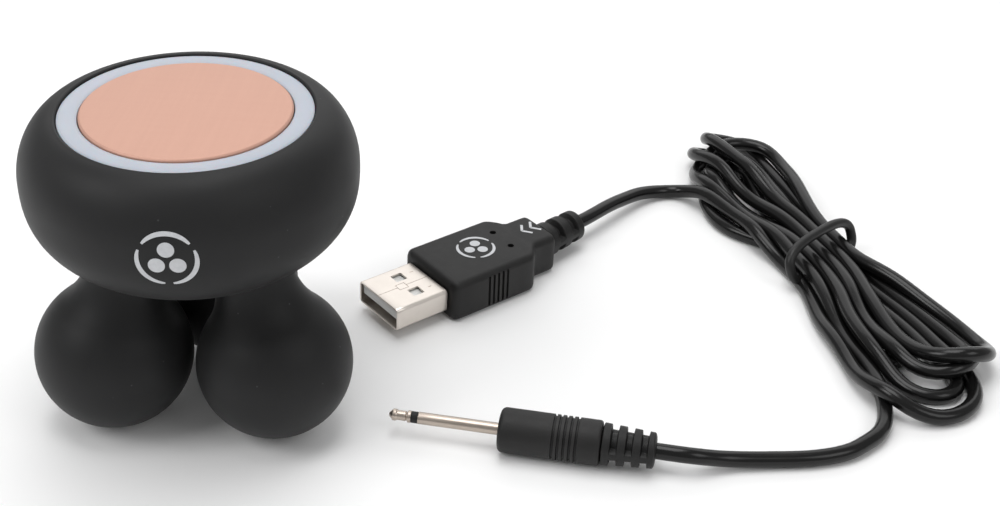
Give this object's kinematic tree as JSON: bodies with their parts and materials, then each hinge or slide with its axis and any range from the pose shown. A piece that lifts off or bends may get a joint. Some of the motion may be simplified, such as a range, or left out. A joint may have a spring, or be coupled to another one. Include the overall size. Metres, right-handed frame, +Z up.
{
  "type": "vibrating three-ball massager",
  "caption": "Palm-held vibrating massager: a squat soft-skinned head with a flat metal top in a light ring stands on ball-ended legs, with its USB charging lead beside it.",
  "frame": {"origin": "on the surface that the three balls stand on, below the middle of the massager's own box, its lead left out", "axes": "+Z up, square to the metal top; +Y from the middle of the head towards the back ball; +X to the user's right, where the lead lies"},
  "size_m": [0.1625, 0.1268, 0.0533],
  "materials": {
    "black_silicone": "matte, soft to the touch",
    "rose_gold": "fine brushed, satin, anodised rose gold",
    "milky_ring": "frosted, translucent",
    "grey_housing": "fine moulded texture",
    "green_board": "solder mask",
    "white_led": "glossy",
    "battery_foil": "matte foil",
    "motor_steel": "drawn steel",
    "weight_brass": "turned",
    "nickel": "nickel plated, satin",
    "white_plastic": "moulded",
    "black_plug": "satin moulded",
    "black_cable": "smooth, slightly glossy"
  },
  "bodies": {
    "massager": {"head_sleeve": "black_silicone", "light_ring": "milky_ring", "touch_plate": "rose_gold", "plate_carrier": "grey_housing", "top_housing": "grey_housing", "bottom_housing": "grey_housing", "led_board": "green_board", "led_1": "white_led", "led_2": "white_led", "led_3": "white_led", "led_4": "white_led", "led_5": "white_led", "led_6": "white_led", "housing_screw_1": "motor_steel", "housing_screw_2": "motor_steel", "housing_screw_3": "motor_steel", "main_board": "green_board", "battery_cell": "battery_foil", "charging_socket": "black_plug", "power_switch": "nickel", "ball_sleeve_left": "black_silicone", "ball_core_upper_left": "grey_housing", "ball_core_lower_left": "grey_housing", "vibration_motor_left": "motor_steel", "leg_nut_left": "white_plastic", "ball_sleeve_right": "black_silicone", "ball_core_upper_right": "grey_housing", "ball_core_lower_right": "grey_housing", "vibration_motor_right": "motor_steel", "leg_nut_right": "white_plastic", "ball_sleeve_back": "black_silicone", "ball_core_upper_back": "grey_housing", "ball_core_lower_back": "grey_housing", "vibration_motor_back": "motor_steel", "leg_nut_back": "white_plastic"},
    "power_button": {"power_button": "black_silicone"},
    "left_weight": {"motor_shaft_left": "motor_steel", "eccentric_weight_left": "weight_brass"},
    "right_weight": {"motor_shaft_right": "motor_steel", "eccentric_weight_right": "weight_brass"},
    "back_weight": {"motor_shaft_back": "motor_steel", "eccentric_weight_back": "weight_brass"},
    "charging_lead": {"usb_shell": "nickel", "usb_tongue": "white_plastic", "usb_overmould": "black_plug", "usb_strain_relief": "black_plug", "jack_tip": "nickel", "jack_insulator": "black_plug", "jack_barrel": "nickel", "jack_overmould": "black_plug", "jack_strain_relief": "black_plug", "cable_usb_run": "black_cable", "cable_jack_run": "black_cable", "cable_hank": "black_cable", "cable_tie": "black_cable"}
  },
  "joints": [
    {"name": "power_button_press", "type": "slide", "parent": "massager", "child": "power_button", "axis": [1, 0, 0], "range_m": [0, 0.0006], "stiffness_N_per_m": 400},
    {"name": "left_weight_spin", "type": "hinge", "parent": "massager", "child": "left_weight", "pos_m": [-0.01303, -0.00832, 0.01256], "axis": [0.1874, 0.1082, 0.9763], "continuous": true},
    {"name": "right_weight_spin", "type": "hinge", "parent": "massager", "child": "right_weight", "pos_m": [0.01303, -0.00832, 0.01256], "axis": [-0.1874, 0.1082, 0.9763], "continuous": true},
    {"name": "back_weight_spin", "type": "hinge", "parent": "massager", "child": "back_weight", "pos_m": [0, 0.01424, 0.01256], "axis": [0, -0.2164, 0.9763], "continuous": true},
    {"name": "lead_clear_of_massager", "type": "slide", "parent": "massager", "child": "charging_lead", "axis": [1, 0, 0], "range_m": [0, 0.1]}
  ]
}
